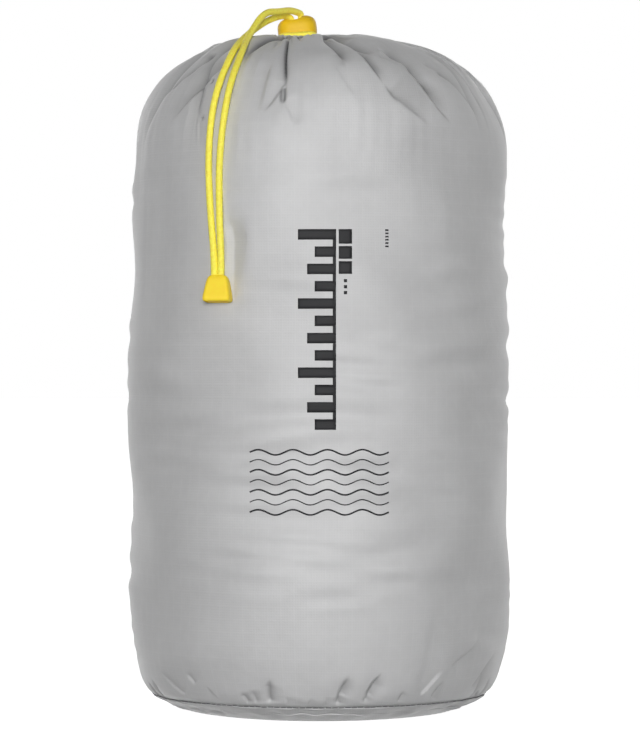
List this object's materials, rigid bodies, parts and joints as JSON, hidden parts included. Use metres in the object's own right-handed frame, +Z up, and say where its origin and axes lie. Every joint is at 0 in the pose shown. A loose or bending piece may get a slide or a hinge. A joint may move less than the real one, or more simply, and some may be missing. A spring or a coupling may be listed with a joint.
{
  "type": "drawstring stuff sack",
  "caption": "Round-based ripstop stuff sack packed full and standing, its gathered mouth held by a spring cord lock, with two cord tails meeting in one cord end.",
  "frame": {"origin": "middle of the round base, on the surface that the sack stands on", "axes": "+Z up along the sack, -Y the front where the cord tails hang, +X to the viewer's right"},
  "size_m": [0.14, 0.14, 0.2601],
  "materials": {
    "ripstop_shell": "light grey ripstop nylon with a soft satin sheen and a fine check weave",
    "ripstop_base": "light grey ripstop nylon, the same cloth as the shell",
    "binding_tape": "grey woven binding tape",
    "sewing_thread": "grey polyester thread",
    "packed_filling": "packed soft clothing",
    "drawcord": "round braided polyester cord, bright yellow",
    "lock_plastic": "moulded acetal, warm yellow, satin",
    "cord_end_plastic": "moulded nylon, yellow, satin",
    "spring_steel": "bright spring wire"
  },
  "bodies": {
    "root": {"sack_body": "ripstop_shell", "base_panel": "ripstop_base", "base_seam_binding": "binding_tape", "base_seam_thread": "sewing_thread", "side_seam_tape": "binding_tape", "stuffed_contents": "packed_filling", "drawcord_channel": "ripstop_shell", "drawcord_loop": "drawcord", "drawcord_legs": "drawcord"},
    "cord_lock": {"cord_lock_body": "lock_plastic", "cord_lock_spring": "spring_steel"},
    "lock_button": {"cord_lock_button": "lock_plastic"},
    "cord_tails": {"tail_cord_right": "drawcord", "tail_cord_left": "drawcord", "cord_end": "cord_end_plastic", "cord_end_cap": "cord_end_plastic", "cord_end_knot": "drawcord"}
  },
  "joints": [
    {"name": "lock_slide", "type": "slide", "parent": "root", "child": "cord_lock", "axis": [0, 0, 1], "range_m": [0, 0.02], "deforming": ["drawcord_legs"]},
    {"name": "lock_button_press", "type": "slide", "parent": "cord_lock", "child": "lock_button", "axis": [0, -1, 0], "range_m": [0, 0.0024], "stiffness_N_per_m": 500, "springref_m": -0.002, "deforming": ["cord_lock_spring"]},
    {"name": "tails_lift", "type": "hinge", "parent": "cord_lock", "child": "cord_tails", "pos_m": [-0.00833, 0, 0.25408], "axis": [-0.9945, 0, -0.1045], "range_deg": [0, 36]}
  ]
}
